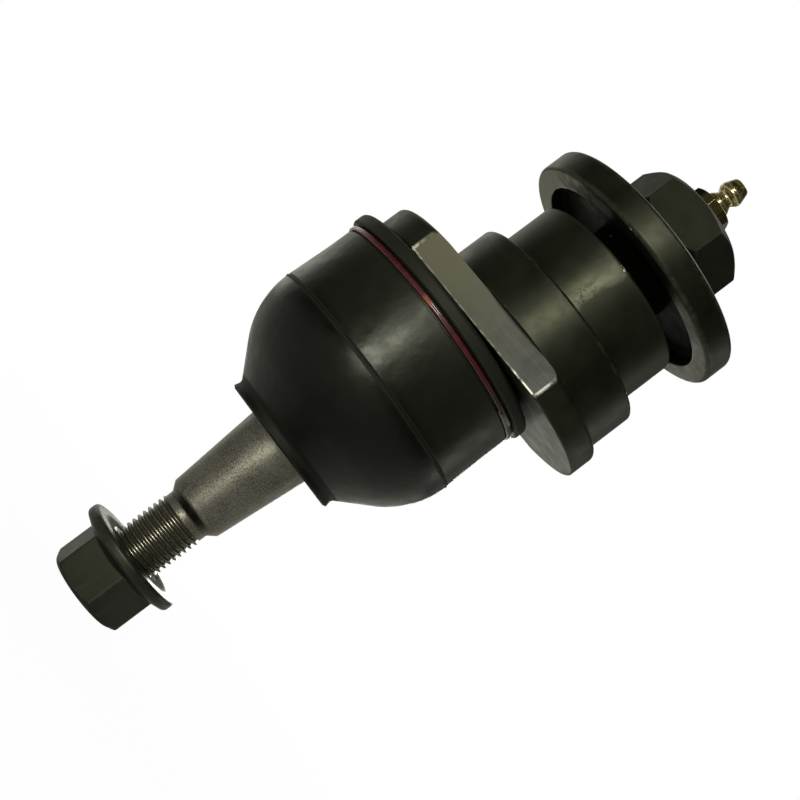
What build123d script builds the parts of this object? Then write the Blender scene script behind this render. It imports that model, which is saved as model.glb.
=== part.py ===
from build123d import *
import math
import os

# Suspension ball joint with an offset mounting shank, in millimetres.
# +Z runs along the mounting shank towards the grease fitting.
# The origin is on the shank's axis, in the plane of the shoulder that the control arm's eye seats on.
# The ball's axis is parallel to it, at x = -OFFSET, and the tapered stud points along -Z.
# The flange's two wrench flats face -Y and +Y.

# Fits and gaps
RUN_GAP = 0.08          # radial gap of parts that turn in each other
PUSH_GAP = 0.04         # radial gap of parts that are pressed or screwed together
FREE_GAP = 0.30         # gap between parts that move past each other

# Mounting shank and its shoulder, about the Z axis
OFFSET = 17.2           # shank axis to ball axis
STEP_R = 27.9
STEP_LENGTH = 12.35
STEP_EDGE = 0.8
SHANK_R = 23.65
SHANK_LENGTH = 15.25
SHANK_EDGE = 0.8
NECK_R = 12.45
NECK_LENGTH = 7.95
THREAD_R = 10.0
THREAD_LENGTH = 18.8
THREAD_CHAMFER = 0.8

# Flange with the two wrench flats
FLANGE_THICKNESS = 7.4
FLANGE_BALL_R = 28.1    # round end about the ball's axis
FLANGE_SHANK_R = 30.2   # round end about the shank's axis
FLAT_TO_FLAT = 51.8
FLANGE_ROUND = 1.55     # rounded edge towards the shank
FLANGE_CHAMFER = 0.3    # broken edge towards the boot

# Socket collar, about the ball's axis
COLLAR_R = 26.45
COLLAR_END_Z = -42.45
COLLAR_CHAMFER = 0.95
BOOT_GROOVE_DEPTH = 1.55
BOOT_GROOVE_WIDTH = 4.35
BOOT_GROOVE_Z = -25.6   # middle of the groove
BORE_R = 19.05
BORE_CONE_Z = -25.65    # where the bore starts to narrow
POCKET_R = 11.3         # spring pocket above the seat
POCKET_FLOOR_Z = -15.15
RING_GROOVE_DEPTH = 1.15

# Ball stud
BALL_R = 14.8
BALL_Z = -32.65
BALL_FLAT_R = 4.65
STUD_NECK_R = 8.95
STUD_NECK_FILLET = 1.55
TAPER_TOP_Z = -63.0
TAPER_END_Z = -94.5
TAPER_END_R = 8.3
TAPER_SLOPE = 1 / 12    # radius per length, a taper of 1 in 6
TAPER_SHOULDER = 2.5    # cone from the taper's large end to the neck
RELIEF_R = 6.6          # plain neck between the taper and the thread
RELIEF_LENGTH = 2.0
RELIEF_CONE = 2.0
RELIEF_RUNOUT = 0.45    # cone between the relief and the thread
STUD_THREAD_R = 7.0
STUD_END_Z = -126.6
STUD_CHAMFER = 1.0

# Upper seat, preload spring, lower race and snap ring
SEAT_TOP_Z = -16.9
SEAT_HOLE_R = 3.1
SEAT_CONE_GAP = 0.4
SEAT_SPLIT_GAP = 0.55   # between the seat and the race, at the ball's middle
SPRING_OUTER_R = 10.75
SPRING_INNER_R = 5.05
SPRING_SHEET = 0.7
RACE_LENGTH = 6.7
SNAP_RING_THICKNESS = 1.55
SNAP_RING_INNER_R = 15.95
SNAP_RING_GAP_DEG = 16.0

# Dust boot
BOOT_WALL = 2.35
BOOT_R = 31.6           # at the mould's parting line
BOOT_BASE_R = 31.15     # beside the clamp ring
BOOT_PARTING_Z = -44.65
BOOT_RIDGE = 0.45       # height of the parting ridge
BOOT_DOME_R = 22.95
BOOT_BEAD_R = 32.4
BOOT_BEAD_WIDTH = 3.6
BOOT_BEAD_ROUND = 1.15
BOOT_BEAD_SLOPE = 0.45  # how far the bead slopes up from the clamp groove
BOOT_TOP_Z = -20.7
BOOT_SHOULDER_LENGTH = 11.3  # thick stretch that grips the collar
BOOT_WAIST_R = 17.65
BOOT_LIP_R = 18.1
BOOT_LIP_Z = -70.4
BOOT_LIP_EDGE = 0.85
BOOT_DISH = 1.15        # how far the lip stands out past the bore's mouth
BOOT_CLEARANCE = 0.55   # boot bore to stud

# Boot rings
WIRE_R = 0.47
WIRE_PITCH = 0.9
CLAMP_RING_Z = -25.35
CLAMP_GROOVE_DEPTH = 0.43
LIP_RING_WALL = 2.0
LIP_RING_LENGTH = 3.25
LIP_RING_Z = -67.05     # face towards the stud's tip

# Stud nut
STUD_NUT_FLATS = 21.0
STUD_NUT_BEARING_Z = -112.0
STUD_NUT_HEIGHT = 15.4
STUD_NUT_FLANGE_R = 14.9
STUD_NUT_FLANGE_RIM = 2.65
STUD_NUT_FLANGE_RISE = 1.85
STUD_NUT_RIM_ROUND = 0.95
STUD_NUT_FACE_R = 9.8
STUD_NUT_CHAMFER_DEG = 30.0

# Cup washer and lock nut
WASHER_R = 31.9
CUP_DEPTH = 3.95
WASHER_THICKNESS = 7.4
WASHER_ROUND = 1.1
CUP_R = 26.15
LOCK_NUT_FLATS = 29.7
LOCK_NUT_HEIGHT = 16.0
LOCK_NUT_TURN = 3.0
LOCK_NUT_FACE_R = 14.0
LOCK_NUT_CHAMFER_DEG = 36.0
LOCK_NUT_LOW_CHAMFER_DEG = 45.0
LOCK_NUT_COLLAR_HEIGHT = 3.1  # round collar under the hexagon

# Grease fitting
FITTING_FLATS = 11.0
FITTING_HEX_HEIGHT = 4.65
FITTING_THREAD_R = 4.9
FITTING_COLLAR_R = 5.3
FITTING_COLLAR_HEIGHT = 1.55
FITTING_THREAD_LENGTH = 7.0
FITTING_CONE_R = 3.3
FITTING_CONE_Z = 49.9
FITTING_NECK_R = 2.2
FITTING_NECK_Z = 51.6
FITTING_HEAD_R = 3.3
FITTING_HEAD_Z = 53.2
FITTING_HEAD_LENGTH = 1.0
FITTING_TIP_R = 2.3
FITTING_TIP_Z = 57.1
FITTING_BORE_R = 1.45
FITTING_MOUTH_R = 0.9
FITTING_MOUTH_LENGTH = 0.45
CHECK_BALL_R = 1.15
CHECK_SPRING_WIRE_R = 0.14
CHECK_SPRING_TURNS = 6
CHECK_SPRING_END_Z = 50.55
GREASE_BORE_R = 1.55

# Heights worked out from the sizes above
FLANGE_TOP_Z = -STEP_LENGTH
FLANGE_END_Z = FLANGE_TOP_Z - FLANGE_THICKNESS
NECK_TOP_Z = SHANK_LENGTH + NECK_LENGTH
THREAD_TOP_Z = NECK_TOP_Z + THREAD_LENGTH
WASHER_Z = NECK_TOP_Z - CUP_DEPTH
WASHER_TOP_Z = WASHER_Z + WASHER_THICKNESS
RACE_TOP_Z = BALL_Z - SEAT_SPLIT_GAP
RACE_END_Z = RACE_TOP_Z - RACE_LENGTH
SNAP_RING_END_Z = RACE_END_Z - SNAP_RING_THICKNESS
BALL_AXIS = Axis((-OFFSET, 0, 0), (0, 0, 1))


def turned(points, axis_x=0.0):
    """A solid of revolution about a vertical axis, from (radius, height) points in order."""
    corners = [(axis_x + radius, 0, height) for radius, height in points]
    face = make_face(Polyline(*corners, close=True))
    return revolve(face, Axis((axis_x, 0, 0), (0, 0, 1)))


def disc(radius, low, high, axis_x=0.0):
    """A plain cylinder between two heights."""
    return Pos(axis_x, 0, (low + high) / 2) * Cylinder(radius, high - low)


def rims(solid, *places):
    """The circular edges of a solid at the given (radius, height) places."""
    found = []
    for edge in solid.edges().filter_by(GeomType.CIRCLE):
        for radius, height in places:
            if abs(edge.radius - radius) < 0.01 and abs(edge.arc_center.Z - height) < 0.01:
                found.append(edge)
    return found


def hex_prism(flats, low, high, turn, axis_x=0.0):
    """A hexagonal prism with one corner at the given angle from +X."""
    outline = RegularPolygon(flats / 2, 6, major_radius=False)
    corner = max(outline.vertices(), key=lambda vertex: vertex.X)
    start = math.degrees(math.atan2(corner.Y, corner.X))
    prism = extrude(outline, high - low)
    return Pos(axis_x, 0, low) * (Rot(0, 0, turn - start) * prism)


def chamfer_cone(flats, face_r, low, high, slope_deg, axis_x=0.0):
    """The turned blank that cuts a nut's corners at its low end."""
    wide = flats / math.sqrt(3) + 1
    drop = (wide - face_r) * math.tan(math.radians(slope_deg))
    return turned([(0, low), (face_r, low), (wide, low + drop), (wide, high), (0, high)], axis_x)


def bore_profile(gap=0.0):
    """The socket's bore as (radius, height) points, from the collar's mouth to the pocket."""
    cone = BORE_R - POCKET_R
    return [(BORE_R - gap, BORE_CONE_Z), (POCKET_R - gap, BORE_CONE_Z + cone)]


def taper_radius(height):
    """Radius of the stud's taper at a height."""
    return TAPER_END_R + (height - TAPER_END_Z) * TAPER_SLOPE


def make_flange():
    """The flange: two round ends of different radius, cut by the wrench flats."""
    ends = (Pos(-OFFSET, 0) * Circle(FLANGE_BALL_R)).edges() + Circle(FLANGE_SHANK_R).edges()
    flange = Pos(0, 0, FLANGE_END_Z) * extrude(make_hull(ends), FLANGE_THICKNESS)
    flange = fillet(flange.faces().sort_by(Axis.Z)[-1].edges(), FLANGE_ROUND)
    flange = chamfer(flange.faces().sort_by(Axis.Z)[0].edges(), FLANGE_CHAMFER)
    return flange & Box(4 * FLANGE_SHANK_R, FLAT_TO_FLAT, -4 * FLANGE_END_Z)


def make_shank():
    """The step, the shank, the neck and the thread's blank, turned in one piece."""
    shank = turned([
        (0, FLANGE_TOP_Z - 1), (SHANK_R, FLANGE_TOP_Z - 1), (SHANK_R, FLANGE_TOP_Z),
        (STEP_R, FLANGE_TOP_Z), (STEP_R, 0), (SHANK_R, 0),
        (SHANK_R, SHANK_LENGTH), (NECK_R, SHANK_LENGTH), (NECK_R, NECK_TOP_Z),
        (THREAD_R, NECK_TOP_Z), (THREAD_R, THREAD_TOP_Z), (0, THREAD_TOP_Z)])
    shank = fillet(rims(shank, (STEP_R, 0)), STEP_EDGE)
    shank = fillet(rims(shank, (SHANK_R, SHANK_LENGTH)), SHANK_EDGE)
    return chamfer(rims(shank, (THREAD_R, THREAD_TOP_Z)), THREAD_CHAMFER)


def make_collar():
    """The socket's collar, with the groove that the boot's bead grips."""
    groove_low = BOOT_GROOVE_Z - BOOT_GROOVE_WIDTH / 2
    groove_high = BOOT_GROOVE_Z + BOOT_GROOVE_WIDTH / 2
    groove_r = COLLAR_R - BOOT_GROOVE_DEPTH
    collar = turned([
        (0, COLLAR_END_Z), (COLLAR_R, COLLAR_END_Z), (COLLAR_R, groove_low - BOOT_GROOVE_DEPTH),
        (groove_r, groove_low), (groove_r, groove_high),
        (COLLAR_R, groove_high + BOOT_GROOVE_DEPTH / 2), (COLLAR_R, FLANGE_END_Z + 1),
        (0, FLANGE_END_Z + 1)], -OFFSET)
    return chamfer(rims(collar, (COLLAR_R, COLLAR_END_Z)), COLLAR_CHAMFER)


def make_housing():
    """The forged housing: collar, flange and shank in one piece, bored from the stud's side."""
    housing = make_collar() + make_flange() + make_shank()
    cone_low, cone_high = bore_profile()
    groove_r = BORE_R + RING_GROOVE_DEPTH
    mouth_z = COLLAR_END_Z - 1
    housing -= turned([
        (0, mouth_z), (BORE_R, mouth_z), (BORE_R, SNAP_RING_END_Z - PUSH_GAP),
        (groove_r, SNAP_RING_END_Z - PUSH_GAP), (groove_r, RACE_END_Z + PUSH_GAP),
        (BORE_R, RACE_END_Z + PUSH_GAP), cone_low, cone_high, (POCKET_R, POCKET_FLOOR_Z),
        (0, POCKET_FLOOR_Z)], -OFFSET)
    # the grease bore follows the shank's axis and breaks into the side of the socket's cone
    cone_at_bore = cone_low[1] + (BORE_R - OFFSET)
    housing -= disc(GREASE_BORE_R, cone_at_bore - 0.75 * GREASE_BORE_R, THREAD_TOP_Z)
    housing -= disc(FITTING_THREAD_R + PUSH_GAP, THREAD_TOP_Z - FITTING_THREAD_LENGTH - 1, THREAD_TOP_Z)
    return housing


def make_ball_stud():
    """The forged stud: ball, neck, 1 in 6 taper, relief and thread blank."""
    shoulder_z = TAPER_TOP_Z + TAPER_SHOULDER
    relief_low = TAPER_END_Z - RELIEF_CONE - RELIEF_LENGTH
    core = turned([
        (0, BALL_Z), (STUD_NECK_R, BALL_Z), (STUD_NECK_R, shoulder_z),
        (taper_radius(TAPER_TOP_Z), TAPER_TOP_Z), (TAPER_END_R, TAPER_END_Z),
        (RELIEF_R, TAPER_END_Z - RELIEF_CONE), (RELIEF_R, relief_low),
        (STUD_THREAD_R, relief_low - RELIEF_RUNOUT), (STUD_THREAD_R, STUD_END_Z), (0, STUD_END_Z)], -OFFSET)
    core = chamfer(rims(core, (STUD_THREAD_R, STUD_END_Z)), STUD_CHAMFER)
    core = fillet(rims(core, (STUD_NECK_R, shoulder_z)), STUD_NECK_FILLET)
    ball = Pos(-OFFSET, 0, BALL_Z) * Sphere(BALL_R)
    flat_z = BALL_Z + math.sqrt(BALL_R ** 2 - BALL_FLAT_R ** 2)
    ball -= disc(BALL_R, flat_z, BALL_Z + BALL_R + 1, -OFFSET)
    return ball + core


def make_upper_seat():
    """The pressure cup over the ball, with a grease hole in its crown."""
    low, high = bore_profile(RUN_GAP)
    top_r = high[0] - SEAT_CONE_GAP
    cone_start = low[1] - SEAT_CONE_GAP
    cone_height = low[0] - top_r
    seat = turned([
        (0, BALL_Z), (low[0], BALL_Z), (low[0], cone_start),
        (top_r, cone_start + cone_height), (top_r, SEAT_TOP_Z), (0, SEAT_TOP_Z)], -OFFSET)
    seat -= Pos(-OFFSET, 0, BALL_Z) * Sphere(BALL_R + RUN_GAP)
    return seat - disc(SEAT_HOLE_R, BALL_Z, SEAT_TOP_Z + 1, -OFFSET)


def make_preload_spring():
    """A coned disc spring between the seat's crown and the pocket's floor."""
    top = POCKET_FLOOR_Z - PUSH_GAP
    low = SEAT_TOP_Z + FREE_GAP
    return turned([
        (SPRING_INNER_R, top - SPRING_SHEET), (SPRING_OUTER_R, low),
        (SPRING_OUTER_R, low + SPRING_SHEET), (SPRING_INNER_R, top)], -OFFSET)


def make_lower_race():
    """The bearing ring under the ball, opened out below for the stud's swing."""
    outer = BORE_R - PUSH_GAP
    race = turned([
        (0, RACE_END_Z), (outer, RACE_END_Z), (outer, RACE_TOP_Z), (0, RACE_TOP_Z)], -OFFSET)
    return race - Pos(-OFFSET, 0, BALL_Z) * Sphere(BALL_R + RUN_GAP)


def make_snap_ring():
    """The split ring that closes the socket."""
    outer = BORE_R + RING_GROOVE_DEPTH - PUSH_GAP
    ring = turned([
        (SNAP_RING_INNER_R, SNAP_RING_END_Z), (outer, SNAP_RING_END_Z),
        (outer, RACE_END_Z), (SNAP_RING_INNER_R, RACE_END_Z)], -OFFSET)
    gap = 2 * outer * math.sin(math.radians(SNAP_RING_GAP_DEG / 2))
    return ring - Pos(-OFFSET + outer, 0, RACE_END_Z) * Box(outer, gap, 4 * SNAP_RING_THICKNESS)


def make_boot():
    """The dust boot: flared lip, 45 degree cone, dome, parting ridge, clamp groove and bead."""
    half = math.sqrt(0.5)
    dome_low_r = BOOT_R - BOOT_DOME_R * (1 - half)
    dome_low_z = BOOT_PARTING_Z - BOOT_DOME_R * half
    waist_z = dome_low_z - (dome_low_r - BOOT_WAIST_R)
    bore_r = taper_radius(BOOT_LIP_Z + BOOT_DISH) + BOOT_CLEARANCE
    rebate_r = taper_radius(LIP_RING_Z + LIP_RING_LENGTH) + 2 * FREE_GAP + LIP_RING_WALL + PUSH_GAP
    web_z = LIP_RING_Z + LIP_RING_LENGTH
    inner_dome = BOOT_DOME_R - BOOT_WALL
    inner_low_r = BOOT_R - BOOT_DOME_R + inner_dome * half
    inner_low_z = BOOT_PARTING_Z - inner_dome * half
    grip_low_z = BOOT_TOP_Z - BOOT_SHOULDER_LENGTH
    grip_r = COLLAR_R + PUSH_GAP
    groove_r = grip_r - BOOT_GROOVE_DEPTH
    groove_low = BOOT_GROOVE_Z - BOOT_GROOVE_WIDTH / 2
    groove_high = BOOT_GROOVE_Z + BOOT_GROOVE_WIDTH / 2
    wall_r = BOOT_R - BOOT_WALL
    clamp_half = WIRE_PITCH / 2 + WIRE_R + PUSH_GAP
    clamp_r = BOOT_BASE_R - CLAMP_GROOVE_DEPTH
    bead_low = BOOT_TOP_Z - BOOT_BEAD_WIDTH

    def at(radius, height):
        return (radius - OFFSET, 0, height)

    def dome(radius):
        """An eighth of a circle from the cone to the parting line."""
        centre_r = BOOT_R - BOOT_DOME_R
        middle = math.radians(22.5)
        return ThreePointArc(
            at(centre_r + radius * half, BOOT_PARTING_Z - radius * half),
            at(centre_r + radius * math.cos(middle), BOOT_PARTING_Z - radius * math.sin(middle)),
            at(centre_r + radius, BOOT_PARTING_Z))

    outer = [
        Line(at(bore_r, BOOT_LIP_Z + BOOT_DISH), at(BOOT_LIP_R - BOOT_LIP_EDGE, BOOT_LIP_Z)),
        Line(at(BOOT_LIP_R - BOOT_LIP_EDGE, BOOT_LIP_Z), at(BOOT_LIP_R, BOOT_LIP_Z + BOOT_LIP_EDGE / 2)),
        Line(at(BOOT_LIP_R, BOOT_LIP_Z + BOOT_LIP_EDGE / 2), at(BOOT_WAIST_R, waist_z)),
        Line(at(BOOT_WAIST_R, waist_z), at(dome_low_r, dome_low_z)),
        dome(BOOT_DOME_R),
        Polyline(
            at(BOOT_R, BOOT_PARTING_Z), at(BOOT_R + BOOT_RIDGE, BOOT_PARTING_Z + BOOT_RIDGE),
            at(BOOT_R, BOOT_PARTING_Z + 2 * BOOT_RIDGE), at(BOOT_BASE_R, grip_low_z),
            at(BOOT_BASE_R, CLAMP_RING_Z - clamp_half), at(clamp_r, CLAMP_RING_Z - clamp_half),
            at(clamp_r, CLAMP_RING_Z + clamp_half), at(BOOT_BEAD_R, bead_low + BOOT_BEAD_SLOPE),
            at(BOOT_BEAD_R, BOOT_TOP_Z), at(grip_r, BOOT_TOP_Z)),
    ]
    inner = [
        Polyline(
            at(grip_r, BOOT_TOP_Z), at(grip_r, groove_high + BOOT_GROOVE_DEPTH / 2),
            at(groove_r, groove_high - PUSH_GAP), at(groove_r, groove_low + PUSH_GAP),
            at(grip_r, groove_low - BOOT_GROOVE_DEPTH), at(grip_r, grip_low_z),
            at(wall_r, grip_low_z - (wall_r - grip_r)), at(wall_r, BOOT_PARTING_Z)),
        dome(inner_dome),
        Polyline(
            at(inner_low_r, inner_low_z), at(inner_low_r - (inner_low_z - web_z), web_z),
            at(rebate_r, web_z), at(rebate_r, LIP_RING_Z - PUSH_GAP), at(bore_r, LIP_RING_Z - PUSH_GAP),
            at(bore_r, BOOT_LIP_Z + BOOT_DISH)),
    ]
    boot = revolve(make_face(outer + inner), BALL_AXIS)
    return fillet(rims(boot, (BOOT_BEAD_R, BOOT_TOP_Z)), BOOT_BEAD_ROUND)


def make_clamp_ring():
    """The wire ring that holds the boot on the collar: two turns side by side."""
    radius = BOOT_BASE_R - CLAMP_GROOVE_DEPTH + PUSH_GAP + WIRE_R
    section = Sketch()
    for side in (-0.5, 0.5):
        middle = (radius - OFFSET, 0, CLAMP_RING_Z + side * WIRE_PITCH)
        section += Plane(middle, x_dir=(1, 0, 0), z_dir=(0, -1, 0)) * Circle(WIRE_R)
    return revolve(section, BALL_AXIS)


def make_lip_ring():
    """The bush in the boot's small end, which rides on the stud."""
    inner = taper_radius(LIP_RING_Z + LIP_RING_LENGTH) + 2 * FREE_GAP
    high = LIP_RING_Z + LIP_RING_LENGTH
    return turned([
        (inner, LIP_RING_Z), (inner + LIP_RING_WALL, LIP_RING_Z),
        (inner + LIP_RING_WALL, high), (inner, high)], -OFFSET)


def make_stud_nut():
    """The flanged nut on the stud's thread."""
    end_z = STUD_NUT_BEARING_Z - STUD_NUT_HEIGHT
    rim_z = STUD_NUT_BEARING_Z - STUD_NUT_FLANGE_RIM
    rise_z = rim_z - STUD_NUT_FLANGE_RISE
    flange = turned([
        (0, rise_z), (STUD_NUT_FLATS / 2, rise_z), (STUD_NUT_FLANGE_R, rim_z),
        (STUD_NUT_FLANGE_R, STUD_NUT_BEARING_Z), (0, STUD_NUT_BEARING_Z)], -OFFSET)
    flange = fillet(rims(flange, (STUD_NUT_FLANGE_R, STUD_NUT_BEARING_Z)), STUD_NUT_RIM_ROUND)
    flange = fillet(rims(flange, (STUD_NUT_FLANGE_R, rim_z)), STUD_NUT_RIM_ROUND)
    hexagon = hex_prism(STUD_NUT_FLATS, end_z, rim_z, 0, -OFFSET)
    hexagon &= chamfer_cone(
        STUD_NUT_FLATS, STUD_NUT_FACE_R, end_z, rim_z, STUD_NUT_CHAMFER_DEG, -OFFSET)
    nut = hexagon + flange
    return nut - disc(STUD_THREAD_R + PUSH_GAP, end_z - 1, STUD_NUT_BEARING_Z + 1, -OFFSET)


def make_cup_washer():
    """The thick washer whose cup clears the shank's end."""
    washer = turned([
        (THREAD_R + FREE_GAP, NECK_TOP_Z), (CUP_R, NECK_TOP_Z), (CUP_R, WASHER_Z),
        (WASHER_R, WASHER_Z), (WASHER_R, WASHER_TOP_Z), (THREAD_R + FREE_GAP, WASHER_TOP_Z)])
    washer = fillet(rims(washer, (WASHER_R, WASHER_Z), (WASHER_R, WASHER_TOP_Z)), WASHER_ROUND)
    return chamfer(rims(washer, (CUP_R, WASHER_Z)), WASHER_ROUND / 3)


def make_lock_nut():
    """The hexagonal nut that clamps the arm: round collar, and corners chamfered at both ends."""
    high = WASHER_TOP_Z + LOCK_NUT_HEIGHT
    collar_top = WASHER_TOP_Z + LOCK_NUT_COLLAR_HEIGHT
    wide = LOCK_NUT_FLATS / math.sqrt(3) + 1
    drop = (wide - LOCK_NUT_FACE_R) * math.tan(math.radians(LOCK_NUT_CHAMFER_DEG))
    rise = (wide - LOCK_NUT_FACE_R) * math.tan(math.radians(LOCK_NUT_LOW_CHAMFER_DEG))
    nut = hex_prism(LOCK_NUT_FLATS, WASHER_TOP_Z, high, LOCK_NUT_TURN)
    nut &= turned([
        (0, WASHER_TOP_Z), (LOCK_NUT_FACE_R, WASHER_TOP_Z), (LOCK_NUT_FACE_R, collar_top),
        (wide, collar_top + rise), (wide, high - drop), (LOCK_NUT_FACE_R, high), (0, high)])
    return nut - disc(THREAD_R + PUSH_GAP, WASHER_TOP_Z - 1, high + 1)


def make_grease_fitting():
    """The grease fitting: threaded stem, hexagon, neck and coupler head, bored for its check ball."""
    hex_low = THREAD_TOP_Z + FITTING_COLLAR_HEIGHT
    hex_top = hex_low + FITTING_HEX_HEIGHT
    head_top = FITTING_HEAD_Z + FITTING_HEAD_LENGTH
    body = turned([
        (0, THREAD_TOP_Z - FITTING_THREAD_LENGTH), (FITTING_THREAD_R, THREAD_TOP_Z - FITTING_THREAD_LENGTH),
        (FITTING_THREAD_R, THREAD_TOP_Z), (FITTING_COLLAR_R, THREAD_TOP_Z),
        (FITTING_COLLAR_R, hex_top), (FITTING_CONE_R, hex_top), (FITTING_CONE_R, FITTING_CONE_Z),
        (FITTING_NECK_R, FITTING_NECK_Z),
        (FITTING_HEAD_R, FITTING_HEAD_Z), (FITTING_HEAD_R, head_top),
        (FITTING_TIP_R, FITTING_TIP_Z), (0, FITTING_TIP_Z)])
    body += hex_prism(FITTING_FLATS, hex_low, hex_top, 30)
    mouth_low = FITTING_TIP_Z - FITTING_MOUTH_LENGTH
    seat_drop = FITTING_BORE_R - FITTING_MOUTH_R
    body -= turned([
        (0, CHECK_SPRING_END_Z), (FITTING_BORE_R, CHECK_SPRING_END_Z),
        (FITTING_BORE_R, mouth_low - seat_drop), (FITTING_MOUTH_R, mouth_low),
        (FITTING_MOUTH_R, FITTING_TIP_Z + 1), (0, FITTING_TIP_Z + 1)])
    return body - disc(FITTING_MOUTH_R, THREAD_TOP_Z - FITTING_THREAD_LENGTH - 1, CHECK_SPRING_END_Z + 1)


def check_ball_z():
    """Height of the check ball's centre when it closes the fitting's mouth."""
    mouth_low = FITTING_TIP_Z - FITTING_MOUTH_LENGTH
    return mouth_low - math.sqrt(CHECK_BALL_R ** 2 - FITTING_MOUTH_R ** 2) - PUSH_GAP


def make_check_ball():
    """The ball that closes the fitting's mouth."""
    return Pos(0, 0, check_ball_z()) * Sphere(CHECK_BALL_R)


def make_check_spring():
    """The small coil spring that pushes the check ball up."""
    coil_r = CHECK_BALL_R - 2 * CHECK_SPRING_WIRE_R
    contact = check_ball_z() - math.sqrt(CHECK_BALL_R ** 2 - coil_r ** 2)
    low = CHECK_SPRING_END_Z + CHECK_SPRING_WIRE_R + PUSH_GAP
    high = contact - 3 * CHECK_SPRING_WIRE_R
    path = Pos(0, 0, low) * Helix((high - low) / CHECK_SPRING_TURNS, high - low, coil_r)
    start = path @ 0
    section = Plane(origin=start, z_dir=path % 0) * Circle(CHECK_SPRING_WIRE_R)
    return sweep(section, path)


def main():
    parts = {
        "housing": make_housing(),
        "ball_stud": make_ball_stud(),
        "upper_seat": make_upper_seat(),
        "preload_spring": make_preload_spring(),
        "lower_race": make_lower_race(),
        "snap_ring": make_snap_ring(),
        "boot": make_boot(),
        "boot_clamp_ring": make_clamp_ring(),
        "boot_lip_ring": make_lip_ring(),
        "stud_nut": make_stud_nut(),
        "cup_washer": make_cup_washer(),
        "lock_nut": make_lock_nut(),
        "grease_fitting": make_grease_fitting(),
        "fitting_check_ball": make_check_ball(),
        "fitting_spring": make_check_spring(),
    }
    os.makedirs("parts", exist_ok=True)
    for name, shape in parts.items():
        solids = shape.solids()
        export_step(solids[0] if len(solids) == 1 else shape, f"parts/{name}.step")


main()
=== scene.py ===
import math

import bmesh
import bpy
import numpy as np
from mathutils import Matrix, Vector, noise


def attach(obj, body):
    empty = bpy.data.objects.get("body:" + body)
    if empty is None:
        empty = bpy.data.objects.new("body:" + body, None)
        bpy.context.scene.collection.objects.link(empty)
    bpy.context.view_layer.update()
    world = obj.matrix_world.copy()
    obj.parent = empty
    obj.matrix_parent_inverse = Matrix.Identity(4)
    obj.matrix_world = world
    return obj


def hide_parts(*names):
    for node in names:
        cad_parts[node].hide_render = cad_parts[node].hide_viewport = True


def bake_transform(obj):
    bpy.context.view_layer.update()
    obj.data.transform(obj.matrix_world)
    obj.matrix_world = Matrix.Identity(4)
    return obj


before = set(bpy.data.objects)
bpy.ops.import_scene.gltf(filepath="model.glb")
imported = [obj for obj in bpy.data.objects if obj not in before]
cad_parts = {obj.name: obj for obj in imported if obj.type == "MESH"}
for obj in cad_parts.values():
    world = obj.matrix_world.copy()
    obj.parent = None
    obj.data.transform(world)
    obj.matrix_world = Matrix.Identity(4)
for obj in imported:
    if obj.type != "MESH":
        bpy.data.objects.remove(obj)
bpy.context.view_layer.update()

# Sizes in millimetres, as in the source, and in the same frame. The housing's shoulder is at height 0.
MM = 0.001
PUSH_GAP = 0.04         # radial gap of parts that are pressed or screwed together

# Shank, step and flange
STEP_R = 27.9
SHANK_R = 23.65
SHANK_TOP_Z = 15.25
NECK_R = 12.45
NECK_TOP_Z = 23.2
SHANK_THREAD_R = 10.0
SHANK_THREAD_EDGE = 0.8
THREAD_TOP_Z = 42.0
FLANGE_LOW_Z = -19.75
FLANGE_TOP_Z = -12.35
FLANGE_BALL_R = 28.1    # round end about the ball's axis
FLANGE_SHANK_R = 30.2   # round end about the shank's axis
FLANGE_ROUND = 1.55     # rolled edge towards the shank
FLAT_Y = 25.9

# Socket collar
COLLAR_R = 26.45
COLLAR_LOW_Z = -42.45
BOOT_GROOVE_DEPTH = 1.55
BOOT_GROOVE_LOW_Z = -27.775
BOOT_GROOVE_TOP_Z = -23.425
BORE_R = 19.05
BORE_CONE_Z = -25.65
POCKET_R = 11.3
SNAP_GROOVE_R = 20.2
SNAP_GROOVE_LOW_Z = -41.49
SNAP_GROOVE_TOP_Z = -39.86

# Ball stud
BALL_X = -17.2
BALL_Z = -32.65
BALL_R = 14.8
BALL_FLAT_R = 4.65
STUD_NECK_R = 8.95
TAPER_TOP_Z = -63.0
TAPER_END_Z = -94.5
TAPER_END_R = 8.3
TAPER_SLOPE = 1 / 12
RELIEF_R = 6.6
RELIEF_TOP_Z = -96.5
RELIEF_LOW_Z = -98.5
STUD_TIP_R = 5.95
STUD_END_Z = -126.6
PITCH = 1.5
THREAD_R = 7.0
THREAD_DEPTH = 0.92

# Nuts and washer
BEARING_Z = -112.0      # face of the stud nut's flange
STUD_NUT_FLATS = 21.0
STUD_NUT_HEIGHT = 15.4
STUD_NUT_FLANGE_R = 14.9
STUD_NUT_FLANGE_RIM = 2.65
STUD_NUT_FLANGE_RISE = 1.85
STUD_NUT_FACE_R = 9.8
WASHER_R = 31.9
WASHER_LOW_Z = 19.25
WASHER_TOP_Z = 26.65
CUP_R = 26.15
LOCK_NUT_FLATS = 29.7
LOCK_NUT_HEIGHT = 16.0
LOCK_NUT_FACE_R = 14.0
LOCK_NUT_COLLAR_HEIGHT = 3.1

# Grease fitting
FITTING_FLATS = 11.0
FITTING_THREAD_R = 4.9
FITTING_COLLAR_R = 5.3
FITTING_HOLE_R = 4.95
FITTING_HOLE_Z = 34.5
HEX_LOW_Z = 43.55
HEX_TOP_Z = 48.2
FITTING_HEAD_R = 3.3
FITTING_NECK_R = 2.2
FITTING_TIP_R = 2.3
FITTING_TIP_Z = 57.1
FITTING_BORE_R = 1.45

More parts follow.
